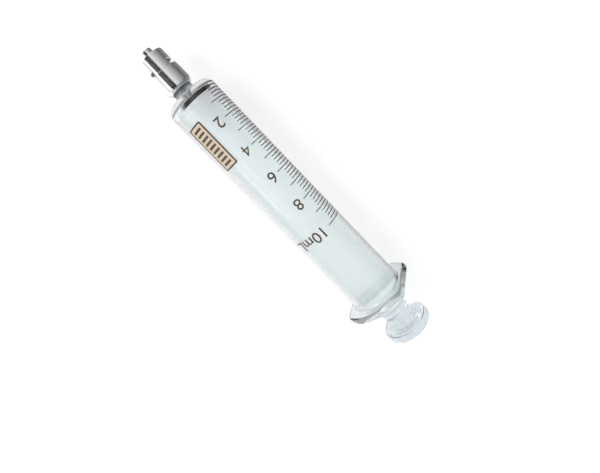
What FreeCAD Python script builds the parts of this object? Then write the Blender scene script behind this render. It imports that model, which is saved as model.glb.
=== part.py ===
"""A 10 ml glass syringe with a metal lock nozzle, lying on a flat of its finger flange.

The long axis is X, with the nozzle towards -X and the thumb button towards +X. The middle of the scale is
turned 59 degrees from the top towards +Y, as it lies in the photograph.
Places along the axis are counted from the zero mark until the finished pieces are set down.
"""
import FreeCAD, Part
import math
import os

V = FreeCAD.Vector
AXIS = V(1, 0, 0)
ZERO = V(0, 0, 0)

# Bore and scale, in millimetres unless the name says otherwise
bore_diameter = 15.0
capacity_ml = 10
marks_per_ml = 5
mark_width = 0.30
mark_height = 0.06
mark_start_deg = 95.0
short_mark_end_deg = 37.0
long_mark_end_deg = 23.0

# Barrel, one piece of glass
wall = 1.4
tail_length = 30.8
front_wall = 2.4
front_gap = 0.1
shoulder_radius = 2.5
inner_corner = 0.2
neck_radius = 3.45
neck_fillet = 0.8
neck_exposed = 2.7
neck_seated = 4.5
channel_radius = 1.0
funnel_radius = 2.2
funnel_depth = 1.2
flange_radius = 13.0
grip_flat = 10.7
rest_flat = 12.4
flange_thickness = 2.4
flange_edge = 1.0
flange_corner = 1.5
flange_fillet = 0.6
mouth_chamfer = 0.4

# Plunger, one piece of ground glass
running_clearance = 0.05
plunger_chamfer = 1.0
plunger_stand_out = 2.2
waist_radius = 4.7
waist_run_in = 4.0
waist_length = 3.0
button_fillet = 1.8
button_radius = 8.0
button_thickness = 4.0
button_edge = 1.4

# Metal hub with the outlet cone
cement_thickness = 0.12
hub_radius = 4.8
hub_length = 7.2
hub_chamfer_length = 1.2
hub_chamfer_drop = 0.8
cone_tip_radius = 1.98
cone_taper = 0.06
cone_projection = 2.6
outlet_radius = 0.9
cone_tip_chamfer = 0.25

# Lock collar round the cone
collar_radius = 4.45
collar_length = 6.1
collar_bore_radius = 4.0
collar_lead_in = 0.25
collar_web = 0.5
collar_tail_length = 1.4
collar_tail_radius = 3.9
slot_width = 2.1
slot_depth = 1.6
seat_clearance = 0.02

# Length by which a cutting tool runs past a face, and the difference at which two places still count as one
cut_past = 1.0
same_place = 1e-4

# Sizes that follow
bore_radius = bore_diameter / 2
barrel_radius = bore_radius + wall
ml_pitch = 1000.0 / (math.pi * bore_radius ** 2)
barrel_end = capacity_ml * ml_pitch + tail_length
scale_middle_deg = (mark_start_deg + long_mark_end_deg) / 2
barrel_front = -front_gap - front_wall
hub_rear = barrel_front - neck_exposed
hub_front = hub_rear - hub_length
neck_front = hub_rear - neck_seated
socket_radius = neck_radius + cement_thickness
collar_front = hub_front - collar_length
cone_tip = collar_front - cone_projection
cone_base = hub_front + collar_tail_length + seat_clearance
plunger_radius = bore_radius - running_clearance
body_end = barrel_end + plunger_stand_out
waist_start = body_end + waist_run_in
button_front = waist_start + waist_length + button_fillet
button_end = button_front + button_thickness


def cone_radius(x):
    """Radius of the outlet cone at a place along the axis."""
    return cone_tip_radius + (x - cone_tip) * cone_taper / 2


def outline(start, steps):
    """Edges from start through each step: (x, r) is a line, (mid x, mid r, x, r) an arc."""
    edges = []
    here = V(start[0], 0, start[1])
    for step in steps:
        there = V(step[-2], 0, step[-1])
        if len(step) == 2:
            edges.append(Part.LineSegment(here, there).toShape())
        else:
            edges.append(Part.Arc(here, V(step[0], 0, step[1]), there).toShape())
        here = there
    return edges


def turned(start, steps):
    """Solid of revolution about X from a closed outline above the axis."""
    edges = outline(start, list(steps) + [start])
    return Part.Face(Part.Wire(edges)).revolve(ZERO, AXIS, 360)


def quarter(x0, r0, x1, r1, centre):
    """Quarter round from one point to another about a centre, as an arc step."""
    radius = math.hypot(x0 - centre[0], r0 - centre[1])
    mid = V((x0 + x1) / 2 - centre[0], 0, (r0 + r1) / 2 - centre[1]).normalize() * radius
    return (centre[0] + mid.x, centre[1] + mid.z, x1, r1)


def ogee(x0, r0, x1, r1):
    """Two equal arcs that run level at both ends, from a larger radius to a smaller one."""
    turn = 2 * math.atan2(r0 - r1, x1 - x0)
    radius = (x1 - x0) / 2 / math.sin(turn)
    along = radius * math.sin(turn / 2)
    down = radius * (1 - math.cos(turn / 2))
    middle = ((x0 + x1) / 2, (r0 + r1) / 2)
    return [(x0 + along, r0 - down) + middle, (x1 - along, r1 + down, x1, r1)]


def cylinder(x0, x1, radius):
    return Part.makeCylinder(radius, x1 - x0, V(x0, 0, 0), AXIS)


def flange_blank():
    """Round finger flange: deep flats square to the middle of the scale, and shallow ones above and below."""
    front = barrel_end - flange_thickness
    blank = cylinder(front, barrel_end, flange_radius)
    for distance, turn_deg in ((grip_flat, scale_middle_deg), (rest_flat, 0.0)):
        slab = Part.makeBox(flange_thickness, 4 * flange_radius, 2 * distance,
                            V(front, -2 * flange_radius, -distance))
        slab.rotate(ZERO, AXIS, -turn_deg)
        blank = blank.common(slab)
    upright = [e for e in blank.Edges if abs(e.tangentAt(e.FirstParameter).x) > 0.99]
    blank = blank.makeFillet(flange_corner, upright)
    rims = [e for e in blank.Edges if e.BoundBox.XLength < same_place]
    return blank.makeFillet(flange_edge, rims)


def barrel():
    """Tube drawn down at the front to a neck and flared behind to the finger flange."""
    f = neck_fillet
    s = shoulder_radius
    glass = turned((neck_front, 0), [
        (neck_front, neck_radius),
        (barrel_front - f, neck_radius),
        quarter(barrel_front - f, neck_radius, barrel_front, neck_radius + f,
                (barrel_front - f, neck_radius + f)),
        (barrel_front, barrel_radius - s),
        quarter(barrel_front, barrel_radius - s, barrel_front + s, barrel_radius,
                (barrel_front + s, barrel_radius - s)),
        (barrel_end, barrel_radius),
        (barrel_end, 0)])
    glass = glass.fuse(flange_blank()).removeSplitter()
    root = [e for e in glass.Edges if is_circle(e, barrel_end - flange_thickness, barrel_radius)]
    glass = glass.makeFillet(flange_fillet, root)
    return glass.cut(barrel_cavity())


def is_circle(edge, x, radius):
    """True for an edge that goes round the axis at this place and radius."""
    if not isinstance(edge.Curve, Part.Circle):
        return False
    return abs(edge.Curve.Center.x - x) < same_place and abs(edge.Curve.Radius - radius) < same_place


def barrel_cavity():
    """Bore ground square, with a small bevel at its bottom and mouth, and the channel through the neck."""
    bottom = -front_gap
    c = inner_corner
    m = mouth_chamfer
    bore = turned((bottom, 0), [
        (bottom, bore_radius - c),
        (bottom + c, bore_radius),
        (barrel_end - m, bore_radius),
        (barrel_end, bore_radius + m),
        (barrel_end + m, bore_radius + m),
        (barrel_end + m, 0)])
    funnel = turned((bottom - funnel_depth, 0), [
        (bottom - funnel_depth, channel_radius),
        (bottom, funnel_radius),
        (bottom + c, funnel_radius),
        (bottom + c, 0)])
    return bore.fuse([funnel, cylinder(neck_front - cut_past, bottom, channel_radius)])


def plunger():
    """Ground rod with a fire polished waist and a round thumb button."""
    e = plunger_chamfer
    b = button_edge
    w = button_fillet
    rim = button_radius - b
    return turned((0, 0), [
        (0, plunger_radius - e),
        (e, plunger_radius),
        (body_end, plunger_radius)]
        + ogee(body_end, plunger_radius, waist_start, waist_radius) + [
        (button_front - w, waist_radius),
        quarter(button_front - w, waist_radius, button_front, waist_radius + w,
                (button_front - w, waist_radius + w)),
        (button_front, rim),
        quarter(button_front, rim, button_front + b, button_radius, (button_front + b, rim)),
        (button_end - b, button_radius),
        quarter(button_end - b, button_radius, button_end, rim, (button_end - b, rim)),
        (button_end, 0)])


def luer_hub():
    """Turned metal hub: a socket for the glass neck behind, the tapered outlet cone in front."""
    t = cone_tip_chamfer
    metal = turned((cone_tip, 0), [
        (cone_tip, cone_tip_radius - t),
        (cone_tip + t, cone_radius(cone_tip + t)),
        (cone_base, cone_radius(cone_base)),
        (cone_base, collar_tail_radius + seat_clearance),
        (hub_front, collar_tail_radius + seat_clearance),
        (hub_front, hub_radius),
        (hub_rear - hub_chamfer_length, hub_radius),
        (hub_rear, hub_radius - hub_chamfer_drop),
        (hub_rear, 0)])
    socket = cylinder(neck_front, hub_rear + cut_past, socket_radius)
    outlet = cylinder(cone_tip - cut_past, neck_front + cut_past, outlet_radius)
    return metal.cut(socket.fuse(outlet))


def neck_cement():
    """Thin sleeve of cement that holds the hub on the glass neck."""
    sleeve = cylinder(neck_front, hub_rear, socket_radius)
    return sleeve.cut(cylinder(neck_front - cut_past, hub_rear + cut_past, neck_radius))


def lock_collar():
    """Ring round the cone, with a tail let into the hub and two windows milled through its wall."""
    tail_end = hub_front + collar_tail_length
    web_front = hub_front - collar_web
    ring = turned((collar_front, collar_bore_radius + collar_lead_in), [
        (collar_front, collar_radius),
        (hub_front, collar_radius),
        (hub_front, collar_tail_radius),
        (tail_end, collar_tail_radius),
        (tail_end, cone_radius(tail_end) + seat_clearance),
        (web_front, cone_radius(web_front) + seat_clearance),
        (web_front, collar_bore_radius),
        (collar_front + collar_lead_in, collar_bore_radius)])
    for side in (-1, 1):
        inner = side * (collar_radius - slot_depth)
        outer = side * (collar_radius + cut_past)
        window = Part.makeBox(slot_width, abs(outer - inner), 2 * collar_radius,
                              V(hub_front - slot_width, min(inner, outer), -collar_radius))
        ring = ring.cut(window)
    return ring


def scale_mark(index):
    """One enamel line across the top of the barrel, longer at each whole millilitre."""
    end_deg = short_mark_end_deg if index % marks_per_ml else long_mark_end_deg
    x = index * ml_pitch / marks_per_ml
    low = barrel_radius
    high = barrel_radius + mark_height
    corners = [V(x - mark_width / 2, 0, low), V(x + mark_width / 2, 0, low),
               V(x + mark_width / 2, 0, high), V(x - mark_width / 2, 0, high)]
    face = Part.Face(Part.makePolygon(corners + corners[:1]))
    face.rotate(ZERO, AXIS, -mark_start_deg)
    return face.revolve(ZERO, AXIS, mark_start_deg - end_deg)


def scale_marks():
    """All the lines of the scale, each one a separate solid."""
    return Part.makeCompound([scale_mark(i) for i in range(capacity_ml * marks_per_ml + 1)])


def set_down(shape):
    """Move a piece so that the origin lies under the middle of the syringe, on the surface it lies on."""
    placed = shape.copy()
    placed.translate(V(-(cone_tip + button_end) / 2, 0, rest_flat))
    return placed


def main():
    pieces = {
        "barrel": barrel(),
        "plunger": plunger(),
        "luer_hub": luer_hub(),
        "lock_collar": lock_collar(),
        "neck_cement": neck_cement(),
        "scale_marks": scale_marks(),
    }
    os.makedirs("parts", exist_ok=True)
    for name, shape in pieces.items():
        placed = set_down(shape)
        placed.exportStep("parts/" + name + ".step")
        box = placed.BoundBox
        print(name, "valid", placed.isValid(), "solids", len(placed.Solids), "volume", round(placed.Volume, 2),
              "x", round(box.XMin, 3), round(box.XMax, 3), "z", round(box.ZMin, 3), round(box.ZMax, 3))


main()
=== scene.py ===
"""The finish of a 10 ml glass syringe with a metal lock nozzle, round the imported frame."""
import bpy
from math import atan2, ceil, cos, degrees, hypot, pi, radians, sin
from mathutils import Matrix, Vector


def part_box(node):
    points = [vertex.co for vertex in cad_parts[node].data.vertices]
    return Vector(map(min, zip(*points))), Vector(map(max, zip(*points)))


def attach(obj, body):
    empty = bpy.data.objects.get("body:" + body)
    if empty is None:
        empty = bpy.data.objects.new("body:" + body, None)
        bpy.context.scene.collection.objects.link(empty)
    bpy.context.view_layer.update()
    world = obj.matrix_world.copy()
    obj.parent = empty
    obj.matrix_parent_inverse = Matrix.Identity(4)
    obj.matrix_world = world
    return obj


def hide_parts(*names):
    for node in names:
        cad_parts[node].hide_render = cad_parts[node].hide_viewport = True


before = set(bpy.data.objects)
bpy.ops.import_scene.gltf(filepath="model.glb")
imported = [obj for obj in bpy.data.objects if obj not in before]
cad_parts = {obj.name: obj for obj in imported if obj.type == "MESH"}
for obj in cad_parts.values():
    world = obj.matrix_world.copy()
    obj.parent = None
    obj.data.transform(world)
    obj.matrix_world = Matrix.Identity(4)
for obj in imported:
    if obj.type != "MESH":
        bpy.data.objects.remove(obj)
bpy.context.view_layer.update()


# Camera. It hangs over the barrel and looks almost straight down, turned so that the nozzle points up and
# left. Places along the syringe are in millimetres from the zero line of the scale, where the front face of
# the plunger stands at rest, and the axis lies level, half way up the finger flange.
mm = 0.001
barrel_low, barrel_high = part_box("barrel")
plunger_low, plunger_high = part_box("plunger")
axis_z = (barrel_low.z + barrel_high.z) / 2
zero_x = plunger_low.x
camera_along = 27.78
camera_above = 128.72

camera_data = bpy.data.cameras.new("camera")
camera_data.sensor_width = 36.0
camera_data.lens = 24.0
camera_data.shift_x = 0.0619
camera_data.shift_y = -0.0638
camera_data.clip_start = 0.005
camera = bpy.data.objects.new("camera", camera_data)
camera.location = (zero_x + camera_along * mm, 0.0, axis_z + camera_above * mm)
camera.rotation_euler = (radians(-4.754), radians(-1.114), radians(45.923))
bpy.context.collection.objects.link(camera)
bpy.context.scene.camera = camera


# Barrel. One piece of clear borosilicate tube, drawn down in front to a thick neck and upset behind into a
# finger flange, on which four flats are ground afterwards. The bore is ground to take the plunger.
barrel_r = 8.9
barrel_front = -2.5
barrel_end = (barrel_high.x - zero_x) / mm
shoulder_r = 2.5
bore_r = 7.5
bore_floor = -0.1
bore_corner_r = 0.2
mouth_edge_r = 0.3
funnel_r = 2.2
funnel_depth = 1.2
channel_r = 1.0
neck_r = 3.45
neck_front = (barrel_low.x - zero_x) / mm
neck_chamfer = 0.2
neck_fillet = 0.8
flange_r = 13.0
flange_front = barrel_end - 2.4
flange_edge_r = 1.0
flange_fillet = 0.6
sides = 128
weld_gap = 0.001 * mm
smooth_below = radians(32)


def arc(x, r, radius, start, end, steps=8):
    """Points of an arc about (x, r); 0 degrees points along the axis and 90 away from it."""
    angles = [radians(start + (end - start) * i / steps) for i in range(steps + 1)]
    return [(x + radius * cos(a), r + radius * sin(a)) for a in angles]


def turn(name, outline, closed=True):
    """Turns an outline of (place, radius) points round the axis, ring by ring, and closes it."""
    bpy.ops.object.select_all(action="DESELECT")
    x, r = outline[0]
    bpy.ops.mesh.primitive_circle_add(vertices=sides, radius=r * mm, rotation=(0, radians(90), 0),
                                      location=(zero_x + x * mm, 0, axis_z))
    piece = bpy.context.object
    piece.name = name
    bpy.ops.object.mode_set(mode="EDIT")
    bpy.ops.mesh.select_all(action="SELECT")
    for next_x, next_r in outline[1:] + ([outline[0]] if closed else []):
        bpy.ops.mesh.extrude_region_move(TRANSFORM_OT_translate={"value": ((next_x - x) * mm, 0, 0)})
        bpy.ops.transform.resize(value=(1, next_r / r, next_r / r),
                                 center_override=(zero_x + next_x * mm, 0, axis_z))
        x, r = next_x, next_r
    bpy.ops.mesh.select_all(action="SELECT")
    bpy.ops.mesh.remove_doubles(threshold=weld_gap)
    if not closed:
        bpy.ops.mesh.fill_holes(sides=0)
    bpy.ops.mesh.normals_make_consistent(inside=False)
    bpy.ops.object.mode_set(mode="OBJECT")
    bpy.ops.object.transform_apply(location=True, rotation=True, scale=True)
    bpy.ops.object.shade_smooth_by_angle(angle=smooth_below)
    return piece


barrel = turn("barrel_glass", (
    [(neck_front, channel_r), (neck_front, neck_r - neck_chamfer), (neck_front + neck_chamfer, neck_r)]
    + arc(barrel_front - neck_fillet, neck_r + neck_fillet, neck_fillet, -90, 0)
    + arc(barrel_front + shoulder_r, barrel_r - shoulder_r, shoulder_r, 180, 90, steps=14)
    + arc(flange_front - flange_fillet, barrel_r + flange_fillet, flange_fillet, -90, 0, steps=6)
    + arc(flange_front + flange_edge_r, flange_r - flange_edge_r, flange_edge_r, 180, 90)
    + arc(barrel_end - flange_edge_r, flange_r - flange_edge_r, flange_edge_r, 90, 0)
    + arc(barrel_end - mouth_edge_r, bore_r + mouth_edge_r, mouth_edge_r, 0, -90, steps=4)
    + arc(bore_floor + bore_corner_r, bore_r - bore_corner_r, bore_corner_r, 90, 180, steps=3)
    + [(bore_floor, funnel_r), (bore_floor - funnel_depth, channel_r)]))

# Two deep flats lie square to the middle of the scale, and two shallow ones above and below. They take the
# flange down there and leave its rim rounded; a higher sharpness makes narrower corners between them
flange_flats = ((10.7, radians(59.0)), (axis_z / mm, 0.0))
flange_root = (barrel_r + 0.65) * mm
sharpness = 64
for vertex in barrel.data.vertices:
    y = vertex.co.y
    z = vertex.co.z - axis_z
    r = hypot(y, z)
    if r > flange_root:
        rim = (flange_r * mm) ** -sharpness
        for distance, turned in flange_flats:
            across = max(abs(y * sin(turned) + z * cos(turned)), 0.1 * mm)
            rim += (distance * mm * r / across) ** -sharpness
        rim = rim ** (-1 / sharpness)
        k = max(r - (flange_r * mm - rim), flange_root) / r
        vertex.co.y = y * k
        vertex.co.z = axis_z + z * k


def new_group(name, inputs, outputs):
    """A shader group with named inputs, as (name, kind, value), and named outputs, as (name, kind)."""
    group = bpy.data.node_groups.new(name, "ShaderNodeTree")
    for socket, kind, value in inputs:
        group.interface.new_socket(socket, in_out="INPUT", socket_type=kind).default_value = value
    for socket, kind in outputs:
        group.interface.new_socket(socket, in_out="OUTPUT", socket_type=kind)
    return group, group.nodes.new("NodeGroupInput"), group.nodes.new("NodeGroupOutput")


def place_group(tree, group, **values):
    """A group in a material, with its own values."""
    node = tree.nodes.new("ShaderNodeGroup")
    node.node_tree = group
    for socket, value in values.items():
        node.inputs[socket].default_value = value
    return node


def put(tree, socket, value):
    """A plain value or colour set on a socket, or another socket linked to it."""
    if isinstance(value, bpy.types.NodeSocket):
        tree.links.new(value, socket)
    else:
        socket.default_value = value


def coordinates(tree):
    """The piece's own coordinates."""
    return tree.nodes.new("ShaderNodeTexCoord").outputs["Object"]


def split(tree, vector):
    """The X, Y and Z of a vector."""
    apart = tree.nodes.new("ShaderNodeSeparateXYZ")
    put(tree, apart.inputs["Vector"], vector)
    return apart.outputs


def length(tree, vector):
    """The length of a vector."""
    reach = tree.nodes.new("ShaderNodeVectorMath")
    reach.operation = "LENGTH"
    put(tree, reach.inputs[0], vector)
    return reach.outputs["Value"]


def fade(tree, value, start, end, first=0.0, last=1.0):
    """A number, such as a mask, that runs from first to last as a value goes from start to end."""
    ramp = tree.nodes.new("ShaderNodeMapRange")
    put(tree, ramp.inputs["Value"], value)
    for socket, number in (("From Min", start), ("From Max", end), ("To Min", first), ("To Max", last)):
        put(tree, ramp.inputs[socket], number)
    return ramp.outputs["Result"]


def combine(tree, operation, first, second):
    """Two masks or numbers put together."""
    both = tree.nodes.new("ShaderNodeMath")
    both.operation = operation
    put(tree, both.inputs[0], first)
    put(tree, both.inputs[1], second)
    return both.outputs["Value"]


def blend(tree, mask, low, high, kind="RGBA"):
    """A colour, or a number, that follows a mask from low to high."""
    mix = tree.nodes.new("ShaderNodeMix")
    mix.data_type = kind
    sockets = [i for i in mix.inputs if i.enabled]
    for socket, value in zip(sockets, (mask, low, high)):
        put(tree, socket, value)
    return [o for o in mix.outputs if o.enabled][0]


def noise(tree, scale, detail=2.0):
    """An even noise all over the piece."""
    cloud = tree.nodes.new("ShaderNodeTexNoise")
    put(tree, cloud.inputs["Vector"], coordinates(tree))
    put(tree, cloud.inputs["Scale"], scale)
    put(tree, cloud.inputs["Detail"], detail)
    return cloud.outputs["Fac"]


def raised(tree, height, strength, distance):
    """The normal of a surface that a pattern raises."""
    bump = tree.nodes.new("ShaderNodeBump")
    put(tree, bump.inputs["Strength"], strength)
    put(tree, bump.inputs["Distance"], distance)
    put(tree, bump.inputs["Height"], height)
    return bump.outputs["Normal"]


# Where a point of the surface is on the syringe, in millimetres: along it from the zero line, across the
# axis towards the scale, up from the axis, and out from the axis any way
place_on_syringe, _, group_out = new_group(
    "place_on_syringe", [], [(name, "NodeSocketFloat") for name in ("Along", "Across", "Up", "Out")])
point = split(place_on_syringe, coordinates(place_on_syringe))
off_axis = place_on_syringe.nodes.new("ShaderNodeVectorMath")
off_axis.operation = "MULTIPLY_ADD"
put(place_on_syringe, off_axis.inputs[0], coordinates(place_on_syringe))
put(place_on_syringe, off_axis.inputs[1], (0, 1, 1))
put(place_on_syringe, off_axis.inputs[2], (0, 0, -axis_z))
for name, value in (("Along", combine(place_on_syringe, "SUBTRACT", point["X"], zero_x)),
                    ("Across", point["Y"]),
                    ("Up", combine(place_on_syringe, "SUBTRACT", point["Z"], axis_z)),
                    ("Out", length(place_on_syringe, off_axis.outputs["Vector"]))):
    put(place_on_syringe, group_out.inputs[name], combine(place_on_syringe, "DIVIDE", value, mm))

# The faint unevenness of drawn and fire polished glass
drawn_surface, group_in, group_out = new_group(
    "drawn_surface", [("Scale", "NodeSocketFloat", 90.0)], [("Normal", "NodeSocketVector")])
waves = noise(drawn_surface, group_in.outputs["Scale"])
put(drawn_surface, group_out.inputs["Normal"],
    raised(drawn_surface, waves, strength=0.06, distance=0.3 * mm))


def new_material(name):
    """A material, with its node tree and its shader."""
    material = bpy.data.materials.new(name)
    material.use_nodes = True
    return material, material.node_tree, material.node_tree.nodes["Principled BSDF"]


def glass(name):
    """Borosilicate glass with its own surface, and the values that say where on the syringe a point is."""
    material, tree, shader = new_material(name)
    shader.inputs["IOR"].default_value = 1.47
    shader.inputs["Transmission Weight"].default_value = 1.0
    # Emission is on at full strength, for the painted glow that is laid on the glass
    shader.inputs["Emission Strength"].default_value = 1.0
    material.cycles.emission_sampling = "NONE"
    surface = place_group(tree, drawn_surface, Scale=90.0)
    put(tree, shader.inputs["Normal"], surface.outputs["Normal"])
    return material, tree, shader, place_group(tree, place_on_syringe).outputs


# Light is followed through 4 glossy bounces and 12 in all, and half a bounce keeps clear of rounding
last_glossy = 4.5
last_bounce = 12.5


def paint_glow_where_given_up(tree, shader, glow, grey):
    """Paints a faint glow on the glass, and a grey painted glow in place of black where light is thrown to
    and fro until it is given up.
    """
    path = tree.nodes.new("ShaderNodeLightPath")
    last = combine(tree, "MAXIMUM",
                   combine(tree, "GREATER_THAN", path.outputs["Glossy Depth"], last_glossy),
                   combine(tree, "GREATER_THAN", path.outputs["Ray Depth"], last_bounce))
    put(tree, shader.inputs["Emission Color"], blend(tree, last, glow, grey))


# Outside it is clear. The bore is ground from just behind its floor, and so are the channel and the neck
# that goes into the hub. The glass is deeper in colour where it thickens towards the flange
fire_polished = 0.02
ground_bore = 0.25
ground_channel = 0.5
ground_neck = 0.48
tube_tint = (0.98, 0.99, 0.992, 1)
flange_tint = (0.87, 0.903, 0.918, 1)
neck_painted_shade = (0.50, 0.55, 0.61, 1)
painted_grey_glow = (0.34, 0.35, 0.36, 1)
black = (0, 0, 0, 1)
clear_glass, tree, shader, place = glass("clear_glass")
clear = fade(tree, place["Along"], start=-3.6, end=-2.9)
outside = combine(tree, "MAXIMUM",
                  fade(tree, place["Out"], start=bore_r + 0.35, end=bore_r + 0.45),
                  fade(tree, place["Along"], start=1.9, end=1.6))
channel = fade(tree, place["Out"], start=2.6, end=2.3)
polish = blend(tree, outside, ground_bore, fire_polished, "FLOAT")
polish = blend(tree, channel, polish, ground_channel, "FLOAT")
put(tree, shader.inputs["Roughness"], blend(tree, clear, ground_neck, polish, "FLOAT"))
thick_end = fade(tree, place["Along"], start=flange_front - 3.0, end=flange_front)
tint = blend(tree, thick_end, tube_tint, flange_tint)
# The neck is tinted dark grey-blue, a painted shade where it goes into the hub
put(tree, shader.inputs["Base Color"], blend(tree, clear, neck_painted_shade, tint))
# A painted grey glow stands in for light in the tube where paths are given up, and none at the flange
paint_glow_where_given_up(tree, shader, black, blend(tree, thick_end, painted_grey_glow, black))
barrel.data.materials.append(clear_glass)
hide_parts("barrel")
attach(barrel, "barrel_body")


# Plunger. A glass rod ground to fit the bore, so that its side is finely frosted. Behind the flange it is
# drawn in to a waist and pressed out again to a round thumb button, both fire polished.
plunger_end = (plunger_high.x - zero_x) / mm
plunger_r = bore_r - 0.05
front_edge_r = 1.0
body_end = barrel_end + 2.2
waist_start = body_end + 4.0
waist_r = 4.7
waist_fillet = 1.8
button_r = (plunger_high.y - plunger_low.y) / 2 / mm
button_front = plunger_end - 4.0
button_edge_r = 1.4


def ogee(x0, r0, x1, r1):
    """Two equal arcs, level at both ends, from a larger radius to a smaller one."""
    bend = 2 * atan2(r0 - r1, x1 - x0)
    radius = (x1 - x0) / 2 / sin(bend)
    return (arc(x0, r0 - radius, radius, 90, 90 - degrees(bend))
            + arc(x1, r1 + radius, radius, 270 - degrees(bend), 270)[1:])


plunger = turn("plunger_glass", (
    [(0, plunger_r - front_edge_r)]
    + arc(front_edge_r, plunger_r - front_edge_r, front_edge_r, 180, 90)[1:]
    + ogee(body_end, plunger_r, waist_start, waist_r)
    + arc(button_front - waist_fillet, waist_r + waist_fillet, waist_fillet, -90, 0)
    + arc(button_front + button_edge_r, button_r - button_edge_r, button_edge_r, 180, 90)[1:]
    + arc(plunger_end - button_edge_r, button_r - button_edge_r, button_edge_r, 90, 0)), closed=False)

# The rod is finely ground as far as it runs in the bore, where a faint painted glow stands in for light
# scattered on to the eye, and clear behind. A painted grey shade lies behind its front edge on the side of
# the scale
ground_rod = 0.22
polished_end = 0.03
rod_tint = (0.897, 0.950, 0.958, 1)
rear_tint = (0.90, 0.950, 0.952, 1)
button_tint = (0.78, 0.845, 0.885, 1)
front_shade_grey = (0.57, 0.56, 0.60, 1)
painted_scatter_glow = (0.072, 0.08, 0.08, 1)
painted_grey_glow = (0.34, 0.36, 0.38, 1)
ground_glass, tree, shader, place = glass("ground_glass")
polished = fade(tree, place["Along"], start=body_end, end=body_end + 1.0)
put(tree, shader.inputs["Roughness"], blend(tree, polished, ground_rod, polished_end, "FLOAT"))
# Painted shade: a grey laid on the front of the rod on the side of the scale, fading towards the rear and
# the near side
painted_front_shade = combine(tree, "MULTIPLY",
               fade(tree, place["Along"], start=16.0, end=0.0),
               fade(tree, place["Across"], start=-3.0, end=1.5))
tint = blend(tree, painted_front_shade, rod_tint, front_shade_grey)
tint = blend(tree, fade(tree, place["Along"], start=30.0, end=60.0), tint, rear_tint)
put(tree, shader.inputs["Base Color"], blend(tree, polished, tint, button_tint))
# A faint painted glow on the ground rod, and a painted grey glow where paths are given up
paint_glow_where_given_up(tree, shader, blend(tree, polished, painted_scatter_glow, black), painted_grey_glow)
plunger.data.materials.append(ground_glass)
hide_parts("plunger")
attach(plunger, "plunger_body")


# Front ring. A dark ring of painted shade shows where the rounded front edge of the plunger meets the bore,
# over the top and down the side of the scale. It is a thin dark shell in the groove between the two,
# carried by the plunger, and fades out at both ends.
ring_front = -0.03
ring_rear = 1.5
ring_r = plunger_r + 0.02
ring_gap = 0.005
ring_shade_dark = (0.004, 0.002, 0.002, 1)
ring_shade_light = (0.020, 0.008, 0.008, 1)

front_shade_ring = turn("plunger_front_shade_ring", (
    [(ring_front, plunger_r - 0.25), (ring_front + 0.15, ring_r), (ring_rear, ring_r),
     (ring_rear, plunger_r + ring_gap)]
    + arc(front_edge_r, plunger_r - front_edge_r, front_edge_r + ring_gap, 90, 165)))
painted_shade_ring, tree, shader = new_material("painted_shade_ring")
place = place_group(tree, place_on_syringe).outputs
# Painted shade: near black with a little noise, faded out at both ends by its Alpha and kept free of
# reflection
put(tree, shader.inputs["Base Color"], blend(tree, noise(tree, scale=900.0), ring_shade_dark, ring_shade_light))
put(tree, shader.inputs["Alpha"], combine(tree, "MULTIPLY",
                                          fade(tree, place["Across"], start=-4.5, end=-2.0),
                                          fade(tree, place["Up"], start=0.0, end=2.5)))
shader.inputs["Roughness"].default_value = 0.6
shader.inputs["Specular IOR Level"].default_value = 0.0
front_shade_ring.data.materials.append(painted_shade_ring)
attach(front_shade_ring, "plunger_body")


# Hub. Turned from brass bar and nickel plated: a socket behind takes the glass neck, and the outlet cone
# stands out in front through the lock collar.
hub_low, hub_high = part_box("luer_hub")
hub_r = (hub_high.y - hub_low.y) / 2 / mm
hub_rear = (hub_high.x - zero_x) / mm
hub_front = hub_rear - 7.2
hub_edge = 0.12
taper_start = hub_rear - 1.1
mouth_r = hub_r - 0.85
outlet_r = 0.9
socket_r = 3.57
recess_r = 3.92
recess_floor = hub_front + 1.42
cone_tip = (hub_low.x - zero_x) / mm
cone_tip_r = 1.98
cone_edge_r = 0.25
cone_slope = 0.03
cone_base_r = cone_tip_r + (recess_floor - cone_tip) * cone_slope

hub = turn("nozzle_hub", (
    [(cone_tip, outlet_r)]
    + arc(cone_tip + cone_edge_r, cone_tip_r - cone_edge_r, cone_edge_r, 180, 95, steps=5)
    + [(recess_floor, cone_base_r), (recess_floor, recess_r), (hub_front, recess_r),
       (hub_front, hub_r - hub_edge), (hub_front + hub_edge, hub_r), (taper_start - 0.2, hub_r),
       (taper_start, hub_r - 0.08), (hub_rear - 0.1, mouth_r + 0.1), (hub_rear, mouth_r),
       (hub_rear, socket_r), (neck_front, socket_r), (neck_front, outlet_r)]))

# Polished nickel, with the fine rings that turning leaves and a little haze from handling
nickel, tree, shader = new_material("nickel_plate")
shader.inputs["Base Color"].default_value = (0.74, 0.735, 0.73, 1)
shader.inputs["Metallic"].default_value = 1.0
handled = noise(tree, scale=260.0, detail=4.0)
put(tree, shader.inputs["Roughness"], fade(tree, handled, start=0.0, end=1.0, first=0.08, last=0.24))
rings = tree.nodes.new("ShaderNodeTexWave")
put(tree, rings.inputs["Vector"], coordinates(tree))
put(tree, rings.inputs["Scale"], 900.0)
put(tree, rings.inputs["Distortion"], 0.4)
put(tree, shader.inputs["Normal"], raised(tree, rings.outputs["Fac"], strength=0.12, distance=0.02 * mm))
hub.data.materials.append(nickel)
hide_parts("luer_hub")
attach(hub, "barrel_body")


# Lock collar. A ring let into the front of the hub round the cone, with a window milled through each side
# and a coarse two start thread inside for the lugs of a needle hub.
collar_low, collar_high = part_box("lock_collar")
collar_r = (collar_high.y - collar_low.y) / 2 / mm
collar_front = (collar_low.x - zero_x) / mm
collar_bore = 4.0
collar_floor = hub_front - 0.5
collar_edge = 0.1
lead_in = 0.25
tail_r = 3.9
tail_end = hub_front + 1.4
cone_hole = 2.28

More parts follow.
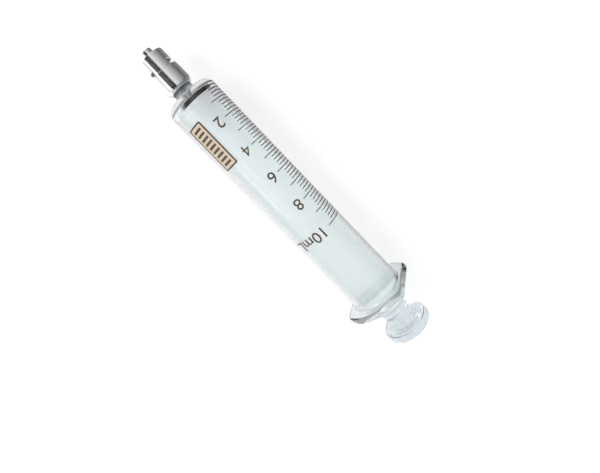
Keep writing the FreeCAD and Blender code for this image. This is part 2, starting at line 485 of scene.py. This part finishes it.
collar = turn("lock_collar_ring", (
    [(collar_front, collar_bore + lead_in), (collar_front, collar_r - collar_edge),
     (collar_front + collar_edge, collar_r), (hub_front - collar_edge, collar_r),
     (hub_front, collar_r - collar_edge), (hub_front, tail_r), (tail_end, tail_r), (tail_end, cone_hole),
     (collar_floor, cone_hole), (collar_floor, collar_bore), (collar_front + lead_in, collar_bore)]))


def pick(piece):
    """Selects one piece and nothing else."""
    bpy.ops.object.select_all(action="DESELECT")
    bpy.context.view_layer.objects.active = piece
    piece.select_set(True)


def finish(piece, modifier):
    """Applies a modifier to one piece."""
    pick(piece)
    bpy.ops.object.modifier_apply(modifier=modifier.name)


def join_or_cut(piece, operation, tool):
    """Joins another solid to a piece, or cuts it out of the piece, and clears it away."""
    work = piece.modifiers.new("work", "BOOLEAN")
    work.object = tool
    work.operation = operation
    finish(piece, work)
    bpy.data.objects.remove(tool)


def copy_of(piece):
    """A copy of a piece, with its own mesh."""
    copy = piece.copy()
    copy.data = piece.data.copy()
    bpy.context.collection.objects.link(copy)
    return copy


# The thread: two ridges, half a turn apart, each swept round the axis from one profile
thread_lead = 5.0
thread_turn = 0.44
thread_start = collar_front + 1.0
thread_steps = 64
ridge_foot = (0.65, collar_bore + 0.1)
ridge_crest = (0.3, 3.5)
bpy.ops.object.select_all(action="DESELECT")
bpy.ops.mesh.primitive_circle_add(vertices=4, radius=0.5 * mm, rotation=(radians(90), radians(45), 0),
                                  location=(0, 0, 0))
ridge = bpy.context.object
bpy.ops.object.transform_apply(location=True, rotation=True, scale=True)
for vertex in ridge.data.vertices:
    half_width, r = ridge_crest if vertex.co.z < 0 else ridge_foot
    vertex.co = ((half_width if vertex.co.x > 0 else -half_width) * mm, 0, r * mm)
sweep = ridge.modifiers.new("sweep", "SCREW")
sweep.axis = "X"
sweep.angle = radians(360 * thread_turn)
sweep.screw_offset = thread_lead * thread_turn * mm
sweep.steps = thread_steps
sweep.render_steps = thread_steps
finish(ridge, sweep)
bpy.ops.object.mode_set(mode="EDIT")
bpy.ops.mesh.select_all(action="SELECT")
bpy.ops.mesh.fill_holes(sides=0)
bpy.ops.mesh.normals_make_consistent(inside=False)
bpy.ops.object.mode_set(mode="OBJECT")
for start, turned_ridge in ((0, copy_of(ridge)), (180, ridge)):
    pick(turned_ridge)
    turned_ridge.rotation_euler = (radians(start), 0, 0)
    turned_ridge.location = (zero_x + thread_start * mm, 0, axis_z)
    bpy.ops.object.transform_apply(location=True, rotation=True, scale=True)
    join_or_cut(collar, "UNION", turned_ridge)

# The windows open on the seam, and the cut runs a little past it
window_floor = collar_r - 1.6
window_front = hub_front - 2.1
window_rear = hub_front + 0.05
window_width = 10.0
cut_depth = 4.0
for side in (-1, 1):
    bpy.ops.mesh.primitive_cube_add(size=1, location=(zero_x + (window_front + window_rear) / 2 * mm,
                                                      side * (window_floor + cut_depth / 2) * mm, axis_z))
    cutter = bpy.context.object
    cutter.scale = ((window_rear - window_front) * mm, cut_depth * mm, window_width * mm)
    join_or_cut(collar, "DIFFERENCE", cutter)
bpy.ops.object.mode_set(mode="EDIT")
bpy.ops.mesh.select_all(action="SELECT")
bpy.ops.mesh.remove_doubles(threshold=weld_gap)
bpy.ops.mesh.dissolve_degenerate(threshold=weld_gap)
bpy.ops.object.mode_set(mode="OBJECT")
bpy.ops.object.shade_smooth_by_angle(angle=smooth_below)
collar.data.materials.append(nickel)
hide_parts("lock_collar")
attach(collar, "barrel_body")


# Cement. A pale ring of set cement shows between the glass neck and the mouth of the hub's socket. It fills
# the gap there, a hair clear of glass and metal.
cement_gap = 0.01
cement_dark = (0.46, 0.45, 0.42, 1)
cement_light = (0.66, 0.65, 0.62, 1)

cement = turn("cement_ring", [
    (neck_front, neck_r + cement_gap), (neck_front, socket_r - cement_gap),
    (hub_rear, socket_r - cement_gap), (hub_rear, neck_r + cement_gap)])
pale_cement, tree, shader = new_material("pale_cement")
put(tree, shader.inputs["Base Color"], blend(tree, noise(tree, scale=1500.0), cement_dark, cement_light))
shader.inputs["Roughness"].default_value = 0.8
cement.data.materials.append(pale_cement)
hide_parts("neck_cement")
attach(cement, "barrel_body")


# Scale. Fifty one lines of brown enamel, screened on the tube and fired. They start at its far side and end
# near its top, and each whole millilitre has a longer line.
ml_pitch = 1000 / (pi * bore_r ** 2)
line_count = 51
line_width = 0.30
line_start = 80.0
short_end = 37.0
long_end = 23.0
print_r = barrel_r + 0.004
print_height = 0.045
cell = 0.5


def wrap(piece):
    """Lays a flat print, drawn with the axis along X and the way round along Y, on the tube."""
    for vertex in piece.data.vertices:
        angle = vertex.co.y / (barrel_r * mm)
        r = print_r * mm + vertex.co.z
        vertex.co.y = r * sin(angle)
        vertex.co.z = axis_z + r * cos(angle)


def fire(piece, height, material):
    """Lays a flat print on the tube and gives it the height and the colour of its fired enamel."""
    wrap(piece)
    coat = piece.modifiers.new("coat", "SOLIDIFY")
    coat.thickness = height * mm
    coat.offset = 1
    finish(piece, coat)
    piece.data.materials.append(material)


def around(angle):
    """Flat place, in millimetres, of an angle round the tube from its top."""
    return radians(angle) * barrel_r


def bar(x, y0, y1, width):
    """A straight printed line round the tube at one place along it, cut finely enough to bend."""
    cuts = ceil((y1 - y0) / cell)
    bpy.ops.mesh.primitive_grid_add(x_subdivisions=1, y_subdivisions=cuts, size=1, location=(0, 0, 0))
    piece = bpy.context.object
    for vertex in piece.data.vertices:
        vertex.co.x = zero_x + (x + vertex.co.x * width) * mm
        vertex.co.y = ((y0 + y1) / 2 + vertex.co.y * (y1 - y0)) * mm
    return piece


def repeat(pattern, places):
    """A flat print drawn at 0, copied to each of several places along the tube."""
    copies = []
    for x in places:
        copy = copy_of(pattern)
        for vertex in copy.data.vertices:
            vertex.co.x += x * mm
        copies.append(copy)
    bpy.data.objects.remove(pattern)
    return copies


def join(pieces, name):
    """Makes one piece of several."""
    pick(pieces[0])
    for piece in pieces:
        piece.select_set(True)
    bpy.ops.object.join()
    pieces[0].name = name
    return pieces[0]


# Fired enamel: a little uneven in colour where the screen left it thinner, and paler underneath, where it
# is seen through the glass; that paler underside is painted light
white = (1, 1, 1, 1)
fired_enamel, group_in, group_out = new_group(
    "fired_enamel",
    [("Dark", "NodeSocketColor", black), ("Light", "NodeSocketColor", white),
     ("Underside", "NodeSocketColor", white)],
    [("Color", "NodeSocketColor")])
thin = fade(fired_enamel, noise(fired_enamel, scale=700.0, detail=3.0), start=0.35, end=0.65)
face = blend(fired_enamel, thin, group_in.outputs["Dark"], group_in.outputs["Light"])
height = place_group(fired_enamel, place_on_syringe).outputs["Out"]
# Painted light: the underside, seen through the glass, takes a paler colour than the face
above_painted_underside = fade(fired_enamel, height, start=print_r + 0.005, end=print_r + 0.02)
put(fired_enamel, group_out.inputs["Color"],
    blend(fired_enamel, above_painted_underside, group_in.outputs["Underside"], face))


def enamel(name, dark, light, pale_painted_underside=(0.85, 0.83, 0.82, 1), cover=1.0):
    """An enamel of one colour, with a soft gloss."""
    material, tree, shader = new_material(name)
    shader.inputs["Roughness"].default_value = 0.4
    shader.inputs["Alpha"].default_value = cover
    coat = place_group(tree, fired_enamel, Dark=dark, Light=light, Underside=pale_painted_underside)
    put(tree, shader.inputs["Base Color"], coat.outputs["Color"])
    return material


line_places = [index * ml_pitch / 5 for index in range(line_count)]
long_lines = repeat(bar(0, around(long_end), around(line_start), line_width), line_places[::5])
short_lines = repeat(bar(0, around(short_end), around(line_start), line_width),
                     [x for index, x in enumerate(line_places) if index % 5])
scale = join(long_lines + short_lines, "scale_lines")
line_enamel = enamel("line_enamel", dark=(0.085, 0.050, 0.052, 1), light=(0.15, 0.09, 0.095, 1))
fire(scale, print_height, line_enamel)
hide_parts("scale_marks")
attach(scale, "barrel_body")


# Numerals. They stand beside the long lines, upright when the nozzle points down, in a browner enamel that
# is screened a little thinner than the lines and fired with them.
numeral_size = 5.2
plain, bolder = 0.0, 0.03
slice_width = 0.4


def lettering(words, x, angle, weight):
    """Characters centred at a place along the tube and an angle round it, flat and cut into slices."""
    bpy.ops.object.text_add(location=(0, 0, 0), rotation=(0, 0, radians(-90)))
    piece = bpy.context.object
    piece.data.body = words
    piece.data.size = numeral_size * mm
    piece.data.align_x = "CENTER"
    piece.data.align_y = "CENTER"
    piece.data.offset = weight * mm
    piece.data.resolution_u = 6
    pick(piece)
    bpy.ops.object.convert(target="MESH")
    piece = bpy.context.object
    piece.location = (zero_x + x * mm, around(angle) * mm, 0)
    bpy.ops.object.transform_apply(location=True, rotation=True, scale=True)
    low = min(v.co.y for v in piece.data.vertices)
    high = max(v.co.y for v in piece.data.vertices)
    bpy.ops.object.mode_set(mode="EDIT")
    cut = low + slice_width * mm
    while cut < high:
        bpy.ops.mesh.select_all(action="SELECT")
        bpy.ops.mesh.bisect(plane_co=(0, cut, 0), plane_no=(0, 1, 0))
        cut += slice_width * mm
    bpy.ops.object.mode_set(mode="OBJECT")
    return piece


def compose(pieces, name):
    """Makes one flat print of several pieces that may touch."""
    printed = join(pieces, name)
    bpy.ops.object.mode_set(mode="EDIT")
    bpy.ops.mesh.select_all(action="SELECT")
    bpy.ops.mesh.remove_doubles(threshold=weld_gap)
    bpy.ops.object.mode_set(mode="OBJECT")
    return printed


# Each one stands at its millilitre line, at an angle from the top, and has its strokes made bolder. The 4
# is left plain, because bolder strokes would fill its closed corner
figures = [lettering(words, ml * ml_pitch, angle, weight) for words, ml, angle, weight in (
    ("2", 2, 7.5, bolder), ("4", 4, 7.5, plain), ("6", 6, 7.5, bolder), ("8", 8, 7.5, bolder),
    ("10", 9.99, -4.0, bolder), ("mL", 9.99, -42.0, bolder))]
numerals = compose(figures, "scale_numerals")
thin_enamel = enamel("thin_enamel", dark=(0.095, 0.052, 0.021, 1), light=(0.17, 0.097, 0.042, 1))
fire(numerals, print_height, thin_enamel)
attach(numerals, "barrel_body")


# Label field. A ruled field on the near side, in the place where such a syringe carries its label: an amber
# stain inside a brown frame, with a plain row of bars.
field_start, field_end = 7.0, 23.2
field_low, field_high = around(-55.0), around(-21.0)
field_length = field_end - field_start
frame_width = 0.5
bar_count = 9
bar_margin = 1.0
bar_width = 0.80
stain_height = 0.02


def strip(x0, x1, y, width):
    """A printed line along the tube."""
    return bar((x0 + x1) / 2, y - width / 2, y + width / 2, x1 - x0)


frame_ends = repeat(bar(0, field_low, field_high, frame_width), (field_start, field_end))
frame_sides = [strip(field_start, field_end, y, frame_width) for y in (field_low, field_high)]
bars = repeat(bar(0, field_low + bar_margin, field_high - bar_margin, bar_width),
              [field_start + field_length * (index + 1) / (bar_count + 1) for index in range(bar_count)])
ruling = compose(frame_ends + frame_sides + bars, "label_ruling")
brown_enamel = enamel("brown_enamel", dark=(0.050, 0.026, 0.011, 1), light=(0.095, 0.052, 0.023, 1))
fire(ruling, print_height, brown_enamel)
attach(ruling, "barrel_body")

stain = bar((field_start + field_end) / 2, field_low, field_high, field_length)
stain.name = "label_field"
amber_stain = enamel("amber_stain", dark=(0.90, 0.67, 0.42, 1), light=(0.98, 0.79, 0.55, 1),
                     pale_painted_underside=(0.92, 0.71, 0.46, 1), cover=0.5)
fire(stain, stain_height, amber_stain)
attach(stain, "barrel_body")


# Floor and light. A white table under a white sky, lit from the near side. Panels out of the camera's sight
# give polished metal and glass something to reflect: dark overhead, grey on the far side and bright on the
# near one.
table_grey = (0.8, 0.8, 0.8, 1)
sky_on_object = 0.45
panel_length = 1.2


def seen_from_glass(tree):
    """Tells the camera's own rays from those that metal and glass send on."""
    path = tree.nodes.new("ShaderNodeLightPath").outputs
    bent = combine(tree, "MAXIMUM", path["Is Glossy Ray"], path["Is Transmission Ray"])
    return path["Is Camera Ray"], bent


# The table glows to the camera, a little less round the syringe, so that a soft shadow shows, and glows
# more faintly to metal and glass, least on the far side
floor_material, tree, shader = new_material("white_table")
shader.inputs["Base Color"].default_value = table_grey
shader.inputs["Roughness"].default_value = 1.0
shader.inputs["Specular IOR Level"].default_value = 0.0
shader.inputs["Emission Color"].default_value = white
camera_ray, bent_ray = seen_from_glass(tree)
seen = fade(tree, length(tree, coordinates(tree)), start=0.10, end=0.50, first=0.56, last=0.72)
mirrored = fade(tree, split(tree, coordinates(tree))["Y"], start=6 * mm, end=28 * mm, first=0.38, last=0.30)
put(tree, shader.inputs["Emission Strength"],
    combine(tree, "ADD", combine(tree, "MULTIPLY", camera_ray, seen),
            combine(tree, "MULTIPLY", bent_ray, mirrored)))
bpy.ops.mesh.primitive_plane_add(size=4, location=(0, 0, 0))
floor = bpy.context.object
floor.name = "table"
floor.data.materials.append(floor_material)

world = bpy.data.worlds.new("white_sky")
bpy.context.scene.world = world
world.use_nodes = True
sky = world.node_tree.nodes["Background"]
sky.inputs["Color"].default_value = white
camera_ray, bent_ray = seen_from_glass(world.node_tree)
looked_at = combine(world.node_tree, "MAXIMUM", camera_ray, bent_ray)
put(world.node_tree, sky.inputs["Strength"],
    fade(world.node_tree, looked_at, start=0.0, end=1.0, first=sky_on_object, last=1.0))

bpy.ops.object.light_add(type="AREA", location=(-0.15, -0.45, 0.5))
key = bpy.context.object
key.name = "key_light"
key.rotation_euler = (radians(42), 0, radians(-18))
key.data.size = 0.5
key.data.energy = 2.2


def panel(name, y, z, height, near, far, tilt=0, through_glass=False):
    """A panel along the syringe, with its own glow at its near edge and at its far edge."""
    material, tree, shader = new_material(name)
    shader.inputs["Base Color"].default_value = black
    shader.inputs["Specular IOR Level"].default_value = 0.0
    shader.inputs["Emission Color"].default_value = white
    put(tree, shader.inputs["Emission Strength"],
        fade(tree, split(tree, coordinates(tree))["Y"], start=-0.5, end=0.5, first=near, last=far))
    bpy.ops.mesh.primitive_plane_add(size=1, location=(0, y, z), rotation=(radians(tilt), 0, 0))
    card = bpy.context.object
    card.name = name
    card.scale = (panel_length, height, 1)
    card.visible_camera = False
    card.visible_diffuse = False
    card.visible_shadow = False
    card.visible_transmission = through_glass
    card.data.materials.append(material)


panel("overhead_panel", y=-0.24, z=0.32, height=0.41, near=0.004, far=0.004)
panel("far_panel", y=0.16, z=0.165, height=0.386, near=0.95, far=0.06, tilt=-58.8, through_glass=True)
panel("far_table", y=0.14, z=0.002, height=0.25, near=0.30, far=0.26)
panel("near_table", y=-0.14, z=0.002, height=0.25, near=1.5, far=1.5)

bpy.context.scene.view_settings.view_transform = "Standard"
